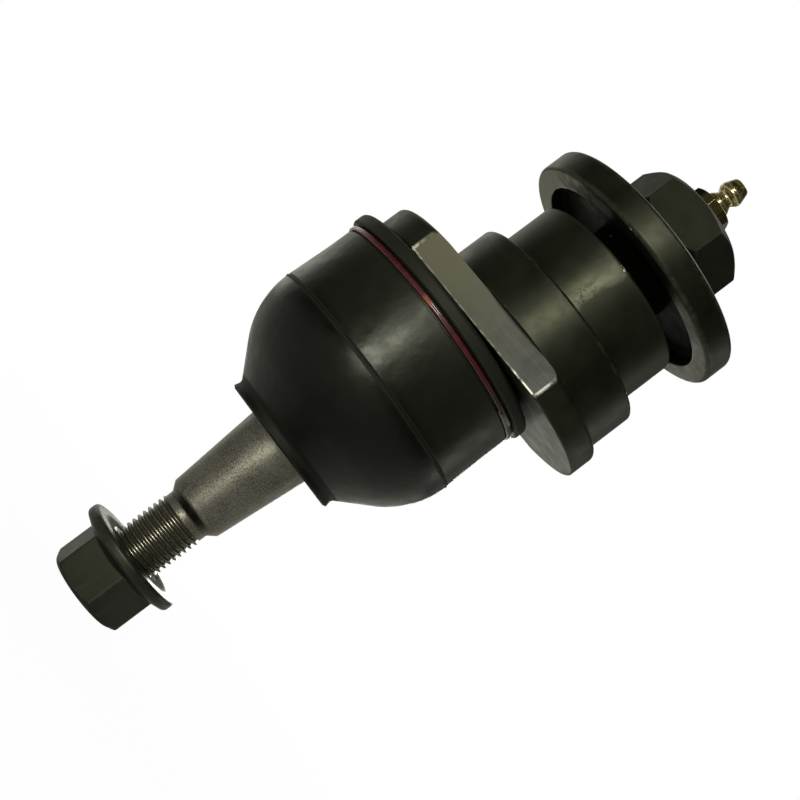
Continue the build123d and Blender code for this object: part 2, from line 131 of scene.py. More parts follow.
# Boot and its wire ring
BOOT_R = 31.6           # at the mould's parting line
BOOT_BASE_R = 31.15     # beside the wire ring
BOOT_WALL = 2.35
DOME_R = 22.95
PARTING_Z = -44.65
RIDGE = 0.22            # height of the parting ridge
BEAD_R = 32.4
BOOT_TOP_Z = -20.7
WAIST_R = 17.65
LIP_R = 18.1
LIP_Z = -70.4
LIP_HOLE_R = 10.95
WIRE_Z = -25.35         # middle of the wire ring and of its groove
WIRE_R = 0.44
WIRE_PITCH = 0.9
WIRE_COIL_R = 31.23
WIRE_GROOVE_R = 30.72
WIRE_GROOVE_HALF = 0.95

# Camera fitted to the photograph: 61 mm lens, 0.3 m from the part
lens = bpy.data.cameras.new("camera")
lens.sensor_width = 36.0
lens.lens = 61.01
lens.clip_start = 0.01
camera = bpy.data.objects.new("camera", lens)
camera.rotation_mode = "QUATERNION"
camera.rotation_quaternion = (0.560729, 0.696226, -0.243875, 0.376003)
camera.location = (0.072291, -0.311598, -0.069219)
bpy.context.scene.collection.objects.link(camera)
bpy.context.scene.camera = camera


# Outlines and surfaces

def arc(centre_r, centre_z, radius, start, end, steps):
    """Points of an arc as (radius, height, fillet) corners, with angles in degrees."""
    angles = np.radians(np.linspace(start, end, steps))
    return [(centre_r + radius * math.cos(a), centre_z + radius * math.sin(a), 0.0) for a in angles]


def rounded(points, closed=False, steps=6, guard=0.28):
    """(radius, height, fillet) corners as fine (radius, height, wear) rows. Wear is 1 on a rounded edge."""
    rows = []
    count = len(points)
    for i, (radius, height, fillet) in enumerate(points):
        here = np.array((radius, height))
        if fillet == 0 or (not closed and i in (0, count - 1)):
            rows.append((radius, height, 0.0))
            continue
        back = np.array(points[i - 1][:2]) - here
        ahead = np.array(points[(i + 1) % count][:2]) - here
        room = 0.49 * min(np.linalg.norm(back), np.linalg.norm(ahead))
        back /= np.linalg.norm(back)
        ahead /= np.linalg.norm(ahead)
        if np.linalg.norm(back + ahead) < 1e-6:
            span = min(guard, room)
            rows.extend((*(here + ahead * way), 0.0) for way in np.linspace(-span, span, steps + 3))
            continue
        half = math.acos(float(np.clip(back @ ahead, -1, 1))) / 2
        reach = min(fillet / math.tan(half), room)
        size = reach * math.tan(half)
        middle = (back + ahead) / np.linalg.norm(back + ahead)
        centre = here + middle * size / math.sin(half)
        first, last = here + back * reach - centre, here + ahead * reach - centre
        rows.append((*(here + back * min(reach + guard, room)), 0.0))
        for k in range(steps + 1):
            way = first * (1 - k / steps) + last * (k / steps)
            rows.append((*(centre + way / np.linalg.norm(way) * size), 1.0))
        rows.append((*(here + ahead * min(reach + guard, room)), 0.0))
    return np.array(rows)


def around(rows_at, angles, axis_x=0.0):
    """A grid of (x, y, z, wear) points: the rows at each angle round a vertical axis."""
    grid = []
    for angle in angles:
        rows = rows_at(angle)
        grid.append(np.column_stack([
            axis_x + rows[:, 0] * math.cos(angle), rows[:, 0] * math.sin(angle), rows[:, 1], rows[:, 2]]))
    return np.array(grid)


def lathe(points, axis_x=0.0, closed=False, slot=0, count=192, steps=6):
    """A turned surface."""
    rows = rounded(points, closed, steps)
    angles = np.linspace(0, 2 * math.pi, count, endpoint=False)
    return {"grid": around(lambda angle: rows, angles, axis_x), "ring": True, "loop": closed, "slot": slot}


def hex_angles(across, turn, soft, sides=18):
    """Angles round a hexagon, closer together at its corners."""
    tangent = math.radians(30) - math.atan((across / 2 - soft) * math.tan(math.radians(30)) / (across / 2))
    corner = list(np.linspace(-tangent, tangent, 7))
    side = list(np.linspace(tangent + 0.02, math.radians(60) - tangent - 0.02, sides))
    return [turn + math.radians(60 * k) + a for k in range(6) for a in corner + side], tangent


def hex_radius(angle, across, turn, soft, tangent):
    """(distance from the axis to the side of a round-cornered hexagon, wear there)."""
    off = (angle - turn) % math.radians(60)
    corner = min(off, math.radians(60) - off)
    if corner > tangent:
        return across / 2 / math.cos(off - math.radians(30)), 0.0
    centre = (across / 2 - soft) / math.cos(math.radians(30))
    return centre * math.cos(corner) + math.sqrt(max(0, soft ** 2 - (centre * math.sin(corner)) ** 2)), 1.0


def hexagonal(points_at, across, turn, soft, axis_x=0.0, closed=True, slot=0):
    """A surface whose outline at each angle depends on a hexagon's radius there."""
    turn = math.radians(turn)
    angles, tangent = hex_angles(across, turn, soft)

    def rows_at(angle):
        reach, wear = hex_radius(angle, across, turn, soft, tangent)
        rows = rounded(points_at(reach), closed)
        on_side = np.abs(rows[:, 0] - reach) < 0.25
        rows[:, 2] = np.maximum(rows[:, 2], wear * on_side)
        return rows

    return {"grid": around(rows_at, angles, axis_x), "ring": True, "loop": closed, "slot": slot}


def tube(path, radius, outward, sides=16, slot=0):
    """A round wire with rounded ends. outward gives the side direction at each point of the path."""
    path = np.array(path)
    along = np.gradient(path, axis=0)
    along /= np.linalg.norm(along, axis=1)[:, None]
    out = np.array(outward)
    out -= along * np.sum(out * along, axis=1)[:, None]
    out /= np.linalg.norm(out, axis=1)[:, None]
    across = np.cross(along, out)
    turns = np.linspace(0, 2 * math.pi, sides, endpoint=False)
    rings = []
    ends = [(0, -1.0, 0.0), (0, -0.8, 0.6), (0, -0.4, 0.9)]
    spots = ends + [(i, 0.0, 1.0) for i in range(len(path))] + [(-1, -s, w) for _, s, w in reversed(ends)]
    for i, shift, width in spots:
        centre = path[i] + along[i] * shift * radius * 0.6
        bare = 1.0 if shift else 0.0
        rings.append([(*(centre + radius * width * (math.cos(t) * out[i] + math.sin(t) * across[i])), bare)
                      for t in turns])
    return {"grid": np.array(rings), "ring": False, "loop": True, "slot": slot}


def make(name, shapes, looks, body, replaced=(), sharp=38.0):
    """A piece from grids of points, riding on a body and standing for its CAD nodes."""
    points, faces, slots = [], [], []
    first = 0
    for shape in shapes:
        grid = shape["grid"]
        rings, rows = grid.shape[:2]
        points.append(grid.reshape(-1, 4))
        for i in range(rings if shape["ring"] else rings - 1):
            for j in range(rows if shape["loop"] else rows - 1):
                here, there = first + i * rows, first + (i + 1) % rings * rows
                k = (j + 1) % rows
                faces.append([here + j, there + j, there + k, here + k])
                slots.append(shape["slot"])
        first += rings * rows
    points = np.concatenate(points)
    mesh = bpy.data.meshes.new(name)
    mesh.from_pydata((points[:, :3] * MM).tolist(), [], faces)
    mesh.attributes.new("wear", "FLOAT", "POINT").data.foreach_set("value", points[:, 3].astype(np.float32))
    mesh.polygons.foreach_set("material_index", slots)
    for shown in looks:
        mesh.materials.append(shown)
    work = bmesh.new()
    work.from_mesh(mesh)
    bmesh.ops.remove_doubles(work, verts=work.verts, dist=2e-7)
    bmesh.ops.recalc_face_normals(work, faces=work.faces)
    work.to_mesh(mesh)
    work.free()
    mesh.shade_smooth()
    mesh.set_sharp_from_angle(angle=math.radians(sharp))
    piece = bpy.data.objects.new(name, mesh)
    bpy.context.scene.collection.objects.link(piece)
    even = piece.modifiers.new("even normals", "WEIGHTED_NORMAL")
    even.keep_sharp = True
    if body:
        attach(piece, body)
    if replaced:
        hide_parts(*replaced)
    return piece


# Materials

OLIVE = (0.95, 0.98, 0.70)  # tint of the oil film on the black finishes


class Look:
    """A principled material whose patterns are worked out from the part's own coordinates."""

    def __init__(self, name, colour, roughness, metallic=0.0, specular=0.5, tint=(1.0, 1.0, 1.0)):
        self.material = bpy.data.materials.new(name)
        self.material.use_nodes = True
        self.tree = self.material.node_tree
        self.shader = self.tree.nodes["Principled BSDF"]
        self.shader.inputs["Base Color"].default_value = (*colour, 1)
        self.shader.inputs["Roughness"].default_value = roughness
        self.shader.inputs["Metallic"].default_value = metallic
        self.shader.inputs["Specular IOR Level"].default_value = specular
        self.shader.inputs["Specular Tint"].default_value = (*tint, 1)
        self.place = self.tree.nodes.new("ShaderNodeTexCoord").outputs["Object"]
        self.normal = None

    def node(self, kind, **settings):
        made = self.tree.nodes.new(kind)
        for key, value in settings.items():
            setattr(made, key, value)
        return made

    def feed(self, socket, value):
        if isinstance(value, bpy.types.NodeSocket):
            self.tree.links.new(value, socket)
        else:
            socket.default_value = value

    def stretched(self, stretch, turn=(0, 0, 0)):
        """The part's coordinates, stretched along the axes and turned."""
        made = self.node("ShaderNodeMapping")
        self.feed(made.inputs["Vector"], self.place)
        made.inputs["Rotation"].default_value = turn
        made.inputs["Scale"].default_value = stretch
        return made.outputs["Vector"]

    def noise(self, size_mm, detail=3.0, rough=0.55, place=None):
        """Noise with blotches about size_mm across."""
        made = self.node("ShaderNodeTexNoise")
        self.feed(made.inputs["Vector"], place or self.place)
        made.inputs["Scale"].default_value = 1 / (size_mm * MM)
        made.inputs["Detail"].default_value = detail
        made.inputs["Roughness"].default_value = rough
        return made.outputs["Fac"]

    def span(self, value, low, high, to_low=0.0, to_high=1.0):
        """A smooth rise from to_low to to_high while the value goes from low to high."""
        made = self.node("ShaderNodeMapRange", interpolation_type="SMOOTHSTEP")
        self.feed(made.inputs["Value"], value)
        for key, number in (("From Min", low), ("From Max", high), ("To Min", to_low), ("To Max", to_high)):
            made.inputs[key].default_value = number
        return made.outputs["Result"]

    def math(self, operation, a, b=0.0):
        made = self.node("ShaderNodeMath", operation=operation)
        self.feed(made.inputs[0], a)
        self.feed(made.inputs[1], b)
        return made.outputs[0]

    def mix(self, share, a, b):
        """Colour a, with a share of colour b."""
        made = self.node("ShaderNodeMix", data_type="RGBA")
        self.feed(made.inputs["Factor"], share)
        for socket, colour in ((made.inputs[6], a), (made.inputs[7], b)):
            self.feed(socket, (*colour, 1) if isinstance(colour, tuple) else colour)
        return made.outputs[2]

    def wear(self):
        """1 on a piece's rounded edges."""
        made = self.node("ShaderNodeAttribute", attribute_name="wear")
        return made.outputs["Fac"]

    def axis(self, name):
        split = self.node("ShaderNodeSeparateXYZ")
        self.feed(split.inputs[0], self.place)
        return split.outputs[name]

    def above(self, name, low_mm, high_mm):
        """0 below the first place on an axis, 1 beyond the second."""
        return self.span(self.axis(name), low_mm * MM, high_mm * MM)

    def below(self, name, low_mm, high_mm):
        """1 below the first place on an axis, 0 beyond the second."""
        return self.span(self.axis(name), low_mm * MM, high_mm * MM, 1.0, 0.0)

    def near(self, point_mm, radius_mm):
        """1 at a point, falling to 0 at a radius."""
        made = self.node("ShaderNodeVectorMath", operation="DISTANCE")
        self.feed(made.inputs[0], self.place)
        made.inputs[1].default_value = tuple(c * MM for c in point_mm)
        return self.span(made.outputs["Value"], 0.0, radius_mm * MM, 1.0, 0.0)

    def specks(self, points_mm, radius_mm):
        """Small ragged spots at the given points."""
        total = 0.0
        for point in points_mm:
            total = self.math("MAXIMUM", self.near(point, radius_mm), total)
        return self.span(self.math("MULTIPLY", total, self.noise(0.22, 2)), 0.27, 0.36)

    def off_axis(self, axis_x_mm):
        """Distance from a vertical axis, in metres."""
        flatten = self.node("ShaderNodeVectorMath", operation="MULTIPLY")
        self.feed(flatten.inputs[0], self.place)
        flatten.inputs[1].default_value = (1, 1, 0)
        made = self.node("ShaderNodeVectorMath", operation="DISTANCE")
        self.feed(made.inputs[0], flatten.outputs["Vector"])
        made.inputs[1].default_value = (axis_x_mm * MM, 0, 0)
        return made.outputs["Value"]

    def across(self, angle_deg):
        """Distance sideways from the vertical plane that leaves the shank's axis at an angle, in metres."""
        angle = math.radians(angle_deg)
        made = self.node("ShaderNodeVectorMath", operation="DOT_PRODUCT")
        self.feed(made.inputs[0], self.place)
        made.inputs[1].default_value = (-math.sin(angle), math.cos(angle), 0)
        return made.outputs["Value"]

    def bump(self, height, depth_mm):
        """Adds a relief of this depth to the surface."""
        made = self.node("ShaderNodeBump")
        made.inputs["Distance"].default_value = depth_mm * MM
        self.feed(made.inputs["Height"], height)
        if self.normal:
            self.feed(made.inputs["Normal"], self.normal)
        self.normal = made.outputs["Normal"]

    def done(self, colour=None, roughness=None):
        if colour is not None:
            self.feed(self.shader.inputs["Base Color"], colour)
        if roughness is not None:
            self.feed(self.shader.inputs["Roughness"], roughness)
        if self.normal:
            self.feed(self.shader.inputs["Normal"], self.normal)
        return self.material


def black_phosphate(name, dark, light, edge, rough=(0.36, 0.46), specular=0.23, grain=0.012, cloud=0.02,
                    bright=(), pale=None, oily=False):
    """Phosphated steel: fine crystals, oil film blotches, paler edges and a few bright specks painted as
    glints.

    bright lists the places of the specks painted as glints, and pale is the place of a paler smear.
    oily dulls the stud nut's bearing face round its bore.
    """
    look = Look(name, dark, 0.5, specular=specular, tint=OLIVE)
    blotch = look.span(look.noise(11, 4), 0.35, 0.7)
    crystals = look.noise(0.4, 2)
    base = look.mix(blotch, dark, light)
    base = look.mix(look.span(crystals, 0.58, 0.8, 0.0, 0.25), base, edge)
    broken = look.math("MULTIPLY", look.wear(), look.span(look.noise(1.3, 3), 0.4, 0.66, 0.05, 0.45))
    base = look.mix(broken, base, edge)
    if pale:
        smear = look.math("MULTIPLY", look.near(pale, 6.0), look.span(look.noise(3, 3), 0.3, 0.6))
        base = look.mix(smear, base, (0.09, 0.086, 0.064))
    # painted highlight: bright specks that stand in for small glints
    if bright:
        base = look.mix(look.specks(bright, 0.65), base, (0.30, 0.30, 0.27))
    look.bump(crystals, grain)
    look.bump(look.noise(4, 3), cloud)
    shine = look.span(look.noise(5, 4), 0.3, 0.7, *rough)
    if oily:
        face = look.above("Z", BEARING_Z - 0.4, BEARING_Z - 0.1)
        inner = look.span(look.off_axis(BALL_X), 9.5 * MM, 13.5 * MM, 1.0, 0.0)
        dull = look.math("MULTIPLY", look.math("MULTIPLY", face, inner), 0.95)
        shine = look.math("MAXIMUM", shine, dull)
    return look.done(base, shine)


def ground_shank():
    """The turned shank: fine lathe lines, a strip scuffed bright and lightened further as a painted
    highlight, small scuffs, and bright specks painted as glints on its end edge.
    """
    look = Look("ground_shank", (0.006, 0.0062, 0.0044), 0.45, specular=0.22, tint=OLIVE)
    lines = look.noise(0.28, 2, place=look.stretched((0.02, 0.02, 1.0)))
    blotch = look.span(look.noise(9, 4), 0.35, 0.7)
    base = look.mix(blotch, (0.0040, 0.0042, 0.0028), (0.0090, 0.0094, 0.0062))
    # painted highlight: the scuffed strip along the shank is painted lighter where the key light's highlight
    # falls
    ragged = look.span(look.noise(4, 3, 0.5), 0.3, 0.7, -1.0 * MM, 1.0 * MM)
    side = look.math("ADD", look.across(-83), ragged)
    start = look.span(side, -6.8 * MM, 0.4 * MM)
    end = look.span(side, 2.0 * MM, 3.6 * MM, 1.0, 0.0)
    worn_highlight = look.math("MULTIPLY", start, end)
    streaks = look.noise(2.2, 4, 0.6, place=look.stretched((1.0, 1.0, 0.35)))
    worn_highlight = look.math("MULTIPLY", worn_highlight, look.span(streaks, 0.34, 0.62, 0.45, 1.0))
    scuffs = look.span(look.noise(0.7, 3), 0.55, 0.62)
    scuffs = look.math("MULTIPLY", look.near((4.0, -23.4, 4.4), 4.5), scuffs)
    base = look.mix(worn_highlight, base, (0.050, 0.050, 0.036))
    base = look.mix(look.math("MULTIPLY", scuffs, 0.9), base, (0.005, 0.005, 0.004))
    # painted highlight: bright specks standing in for glints on the shank's end edge
    bright_marks = look.specks([(3.4, -23.4, 15.1), (4.6, -23.2, 14.7), (4.1, -23.3, 15.2)], 0.75)
    base = look.mix(look.math("MULTIPLY", look.wear(), 0.12), base, (0.04, 0.041, 0.032))
    base = look.mix(bright_marks, base, (0.40, 0.40, 0.36))
    look.bump(lines, 0.006)
    look.bump(look.math("MULTIPLY", scuffs, -1.0), 0.04)
    return look.done(base, look.span(worn_highlight, 0.0, 1.0, 0.46, 0.34))


def clamped_face_with_reflection():
    """The washer's face that grips the arm: oily black, painted pale on one side and faintly on the other, as
    reflected light.
    """
    look = Look("phosphate_painted_reflection", (0.004, 0.0042, 0.0028), 0.5, specular=0.15, tint=OLIVE)
    blotch = look.noise(3.5, 4, 0.6)
    base = look.mix(look.span(blotch, 0.35, 0.7), (0.0016, 0.0017, 0.0011), (0.0040, 0.0042, 0.0028))
    # painted reflection: paler towards -X, and a little towards +X
    ragged = look.math("ADD", look.axis("X"), look.span(blotch, 0.3, 0.7, -3 * MM, 3 * MM))
    left = look.span(ragged, -26 * MM, -12 * MM, 1.0, 0.0)
    right = look.span(look.axis("X"), 12 * MM, 24 * MM, 0.0, 0.2)
    base = look.mix(look.math("MAXIMUM", left, right), base, (0.20, 0.19, 0.14))
    look.bump(look.noise(0.5, 2), 0.012)
    return look.done(base, look.span(blotch, 0.3, 0.7, 0.45, 0.58))


def milled_flat():
    """The bare wrench flat: fine mill marks, faint blotches, bright chipped edges, and an end painted lighter
    and warmer as reflection.
    """
    look = Look("milled_flat", (0.09, 0.09, 0.07), 0.45, metallic=0.2, specular=0.25)
    marks = look.noise(0.4, 2, place=look.stretched((0.05, 1.0, 1.0), (0, 0.12, 0)))
    blotch = look.span(look.noise(8, 4, 0.55), 0.3, 0.7)
    base = look.mix(blotch, (0.024, 0.025, 0.021), (0.035, 0.036, 0.030))
    # painted reflection: the flat is painted lighter and warmer towards -X
    warm_reflection = look.below("X", -30, 12)
    base = look.mix(look.math("MULTIPLY", warm_reflection, 0.8), base, (0.105, 0.098, 0.058))
    base = look.mix(look.span(look.noise(0.5, 3), 0.62, 0.78, 0.0, 0.25), base, (0.022, 0.022, 0.017))
    base = look.mix(look.span(marks, 0.4, 0.7, 0.0, 0.2), base, (0.085, 0.085, 0.068))
    bright_marks = look.span(look.noise(2.0, 3), 0.44, 0.56, 0.10, 0.9)
    low_edge = FLANGE_LOW_Z + 0.15
    ends = look.math(
        "MAXIMUM", look.near((13.5, -FLAT_Y, low_edge), 9.0), look.near((-28.5, -FLAT_Y, low_edge), 5.0))
    bright_marks = look.math("MULTIPLY", bright_marks, look.span(ends, 0.05, 0.6, 0.15, 1.0))
    base = look.mix(look.math("MULTIPLY", look.wear(), bright_marks), base, (0.80, 0.80, 0.72))
    look.bump(marks, 0.004)
    look.bump(look.noise(7, 3), 0.012)
    return look.done(base, look.span(look.noise(3, 3), 0.3, 0.7, 0.38, 0.48))


def rubber():
    """Moulded rubber: soft mottling, fine dust, a wall painted lighter than the dome as light and shade, two
    pale spots painted as highlights, and a dull lip, bead and parting ridge.
    """
    look = Look("boot_rubber", (0.003, 0.0032, 0.0022), 0.4, specular=0.21, tint=(0.97, 0.99, 0.86))
    blotch = look.span(look.noise(13, 5), 0.35, 0.7)
    base = look.mix(blotch, (0.0008, 0.0009, 0.0007), (0.0022, 0.0024, 0.0019))
    # painted light and shade: the wall above the parting line is painted lighter than the dome
    wall = look.math("MULTIPLY", look.above("Z", -46, -41), 0.8)
    base = look.mix(wall, base, (0.0105, 0.0110, 0.0078))
    dust = look.span(look.noise(0.7, 3, 0.7), 0.62, 0.78, 0.0, 0.12)
    base = look.mix(dust, base, (0.013, 0.0135, 0.010))
    base = look.mix(look.math("MULTIPLY", look.wear(), 0.12), base, (0.014, 0.0145, 0.011))
    look.bump(look.noise(0.25, 2), 0.006)
    look.bump(look.noise(4.5, 3, 0.5), 0.12)
    # painted highlight: two pale spots near the parting line
    highlight_spots = look.math("MAXIMUM", look.near((-13.8, -31.4, -42.2), 2.6), look.near((-10.4, -30.9, -42.0), 2.2))
    highlight_spots = look.math("MULTIPLY", highlight_spots, look.noise(1.3, 4, 0.6))
    base = look.mix(look.span(highlight_spots, 0.26, 0.40), base, (0.036, 0.037, 0.032))
    rough = look.span(look.noise(5, 4), 0.3, 0.7, 0.27, 0.37)
    rough = look.math("ADD", rough, look.span(look.axis("Z"), -41 * MM, -28 * MM, 0.0, 0.10))
    seam = look.math("ABSOLUTE", look.math("SUBTRACT", look.axis("Z"), (PARTING_Z + 0.3) * MM))
    bead = look.above("Z", -24.5, -24.0)
    lip = look.below("Z", -67.2, -66.0)
    ridge = look.span(seam, 0.4 * MM, 0.7 * MM, 1.0, 0.0)
    for dull in (bead, lip, ridge):
        rough = look.math("MAXIMUM", rough, look.math("MULTIPLY", dull, 0.62))
    return look.done(base, rough)


def red_lacquer():
    """Dark red lacquered wire, with an orange glint painted at one place, and darker on the shank's side."""
    look = Look("red_wire", (0.07, 0.003, 0.006), 0.3, specular=0.3)
    drawn = look.noise(0.4, 2)
    cloud = look.span(look.noise(2.0, 3), 0.4, 0.65)
    base = look.mix(cloud, (0.034, 0.0022, 0.0030), (0.070, 0.0040, 0.0055))
    # painted highlight: an orange glint on the wire
    orange_glint = look.span(look.near((-14.6, -31.1, -25.3), 2.6), 0.1, 0.7)
    base = look.mix(orange_glint, base, (0.16, 0.035, 0.006))
    # darker towards the shank's side
    darker_toward_shank = look.above("X", 2, 13)
    base = look.mix(look.math("MULTIPLY", darker_toward_shank, 0.9), base, (0.010, 0.008, 0.005))
    base = look.mix(look.math("MULTIPLY", look.wear(), 0.6), base, (0.03, 0.025, 0.02))
    look.bump(drawn, 0.002)
    look.shader.inputs["Coat Weight"].default_value = 0.5
    look.shader.inputs["Coat Roughness"].default_value = 0.09
    return look.done(base, look.span(drawn, 0.3, 0.7, 0.30, 0.40))


def blasted_taper():
    """The stud's taper: sandy grain over grey-brown steel, painted dark as shade where it rounds into the
    relief.
    """
    look = Look("stud_steel", (0.08, 0.07, 0.056), 0.5, metallic=1.0)
    grain = look.noise(0.34, 3, 0.7)
    cloud = look.span(look.noise(7, 4), 0.3, 0.7)
    base = look.mix(cloud, (0.090, 0.084, 0.067), (0.15, 0.143, 0.118))
    base = look.mix(look.span(grain, 0.40, 0.66, 0.0, 0.55), base, (0.36, 0.34, 0.295))
    # painted shade: a dark band where the taper rounds into the relief
    groove = look.math("MULTIPLY", look.above("Z", -97.2, -96.4), look.below("Z", -95.3, -94.1))
    base = look.mix(look.math("MULTIPLY", groove, 0.7), base, (0.014, 0.013, 0.009))
    look.bump(grain, 0.045)
    look.bump(look.noise(1.8, 3), 0.035)
    return look.done(base, look.span(grain, 0.3, 0.7, 0.27, 0.38))


def rolled_thread():
    """The thread: shiny rolled crests and roots, with the flanks between them painted dark as shade."""
    look = Look("thread_steel", (0.12, 0.115, 0.10), 0.3, metallic=1.0)
    # painted shade: the flanks are painted darker than the crests and roots
    rolled = look.math("ABSOLUTE", look.math("SUBTRACT", look.wear(), 0.5))
    base = look.mix(look.span(rolled, 0.3, 0.48), (0.032, 0.030, 0.018), (0.22, 0.21, 0.165))
    base = look.mix(look.span(look.noise(1.0, 4), 0.45, 0.70, 0.0, 0.5), base, (0.05, 0.047, 0.033))
    look.feed(look.shader.inputs["Metallic"], look.span(rolled, 0.3, 0.48, 0.15, 1.0))
    look.bump(look.noise(0.2, 2), 0.003)
    return look.done(base, look.span(look.noise(0.7, 3), 0.3, 0.7, 0.24, 0.34))


def yellow_zinc():
    """Yellow passivated steel: clear gold with olive clouds, drawn streaks, paler edges, and an olive hexagon
    that is brown on its +X side and painted near black on its -X side as shade.
    """
    look = Look("zinc_yellow", (0.5, 0.4, 0.16), 0.2, metallic=0.85)
    streak = look.noise(0.55, 3, place=look.stretched((1.0, 1.0, 0.12)))
    bands = look.noise(1.1, 3, place=look.stretched((0.1, 0.1, 1.0)))
    base = look.mix(look.span(look.noise(1.9, 3), 0.3, 0.7), (0.36, 0.31, 0.11), (0.56, 0.48, 0.20))
    base = look.mix(look.span(streak, 0.46, 0.60, 0.0, 0.85), base, (0.085, 0.050, 0.032))
    base = look.mix(look.span(bands, 0.5, 0.62, 0.0, 0.8), base, (0.060, 0.034, 0.024))
    base = look.mix(look.math("MULTIPLY", look.wear(), 0.45), base, (0.85, 0.75, 0.45))
    hexagon = look.below("Z", HEX_TOP_Z - 0.4, HEX_TOP_Z)
    # painted shade: the hexagon's -X side is painted near black
    oily = look.math("MULTIPLY", hexagon, look.below("X", -3.4, -2.6))
    brown = look.math("MULTIPLY", hexagon, look.above("X", 2.6, 3.8))
    olive = look.mix(look.noise(1.9, 3), (0.15, 0.125, 0.045), (0.21, 0.175, 0.065))
    base = look.mix(hexagon, base, olive)
    base = look.mix(oily, base, (0.006, 0.007, 0.004))
    base = look.mix(brown, base, (0.10, 0.065, 0.03))
    look.bump(streak, 0.005)
    shine = look.math("MAXIMUM", look.span(streak, 0.3, 0.7, 0.17, 0.28), look.math("MULTIPLY", oily, 0.6))
    return look.done(base, shine)


def inner_metal(name, colour, rough, metallic, grain_mm, depth):
    """Hidden steel and sintered parts: grain with darker oily clouds."""
    look = Look(name, colour, rough, metallic=metallic)
    shade = tuple(c * 0.55 for c in colour)
    base = look.mix(look.span(look.noise(5, 4), 0.35, 0.7), colour, shade)
    grain = look.noise(grain_mm, 3)
    look.bump(grain, depth)
    return look.done(base, look.span(grain, 0.3, 0.7, rough * 0.8, rough * 1.25))


# painted highlight: the bright speck is a glint on the washer's lower edge
phosphate = black_phosphate(
    "black_phosphate", (0.0036, 0.0038, 0.0025), (0.0078, 0.0082, 0.0053), (0.032, 0.033, 0.024),
    bright=[(0.0, -31.3, 19.4)])
forged = black_phosphate(
    "forged_black", (0.0050, 0.0053, 0.0034), (0.0105, 0.0110, 0.0070), (0.034, 0.035, 0.025),
    rough=(0.42, 0.54), grain=0.03, cloud=0.03)
oxide = black_phosphate(
    "black_oxide", (0.0078, 0.0082, 0.0066), (0.0120, 0.0124, 0.0100), (0.030, 0.031, 0.025),
    rough=(0.36, 0.44), specular=0.30, grain=0.008, cloud=0.004, oily=True)
lock_black = black_phosphate(
    "lock_nut_black", (0.0060, 0.0063, 0.0042), (0.0100, 0.0104, 0.0070), (0.030, 0.031, 0.023),
    rough=(0.50, 0.58), specular=0.10, grain=0.008, cloud=0.004)
# painted shade: the inside of the washer's cup and the shank's end in it are painted near black, darker than
# the phosphate; the bright speck is a painted glint and the pale smear is a paler spot
recess_shade = black_phosphate(
    "recess_painted_shade", (0.0010, 0.0011, 0.0007), (0.0024, 0.0026, 0.0016), (0.010, 0.0105, 0.007),
    rough=(0.55, 0.68), specular=0.04, bright=[(-7.0, -10.3, 21.4)], pale=(-16.7, -7.5, 23.2))
clamped_face_look = clamped_face_with_reflection()
shank = ground_shank()
flat = milled_flat()
boot_rubber = rubber()
lacquer = red_lacquer()
taper = blasted_taper()
threaded = rolled_thread()
zinc = yellow_zinc()


# Housing: collar, flange and shank

def flange_outline(inset, lift):
    """Rows of (x, y, on the flat): the flange's outline moved in by inset, its flats moved in by lift."""
    half = FLAT_Y - lift
    ball_end = math.asin(half / (FLANGE_BALL_R - inset))
    shank_end = math.asin(half / (FLANGE_SHANK_R - inset))
    left, right = [], []
    for angle in np.linspace(math.pi - ball_end, math.pi + ball_end, 80):
        radius = FLANGE_BALL_R - inset
        left.append((BALL_X + radius * math.cos(angle), radius * math.sin(angle), 0.0))
    for angle in np.linspace(-shank_end, shank_end, 96):
        radius = FLANGE_SHANK_R - inset
        right.append((radius * math.cos(angle), radius * math.sin(angle), 0.0))
    shares = np.concatenate([[0.008], np.linspace(0.04, 0.96, 21), [0.992]])
    low = [(left[-1][0] + (right[0][0] - left[-1][0]) * s, -half, 1.0) for s in shares]
    high = [(right[-1][0] + (left[0][0] - right[-1][0]) * s, half, 1.0) for s in shares]
    return left + low + right + high


def flange_surface():
    """The flange: chamfer towards the boot, rolled edge towards the shank, two flats."""
    levels = [
        (0.60, FLANGE_LOW_Z, 0.22, 0.0), (0.30, FLANGE_LOW_Z, 0.10, 1.0), (0.2, FLANGE_LOW_Z + 0.1, 0.0, 1.0),
        (0.0, FLANGE_LOW_Z + 0.3, 0.0, 1.0), (0.0, FLANGE_LOW_Z + 0.5, 0.0, 0.0),
        (0.0, FLANGE_LOW_Z + 2.7, 0.0, 0.0), (0.0, FLANGE_TOP_Z - FLANGE_ROUND, 0.0, 0.0)]
    steps = 12
    for k in range(1, steps + 1):
        turn = math.radians(90 * k / steps)
        inset = FLANGE_ROUND * (1 - math.cos(turn))
        height = FLANGE_TOP_Z - FLANGE_ROUND * (1 - math.sin(turn))
        levels.append((inset, height, 0.0, 0.7 if k == steps else 0.0))
    levels.append((1.9, FLANGE_TOP_Z, 0.2, 0.0))
    grid = []
    for inset, height, lift, wear in levels:
        outline = flange_outline(inset, lift)
        count = len(outline)
        ring = []
        for i, (x, y, on_flat) in enumerate(outline):
            edge = not on_flat and (outline[i - 1][2] or outline[(i + 1) % count][2])
            ring.append((x, y, height, 1.0 if edge else wear))
        grid.append(ring)
    low = [(BALL_X / 2, 0.0, FLANGE_LOW_Z, 0.0)] * len(grid[0])
    high = [(BALL_X / 2, 0.0, FLANGE_TOP_Z, 0.0)] * len(grid[0])
    return {"grid": np.array([low] + grid + [high]), "ring": False, "loop": True, "slot": 0}


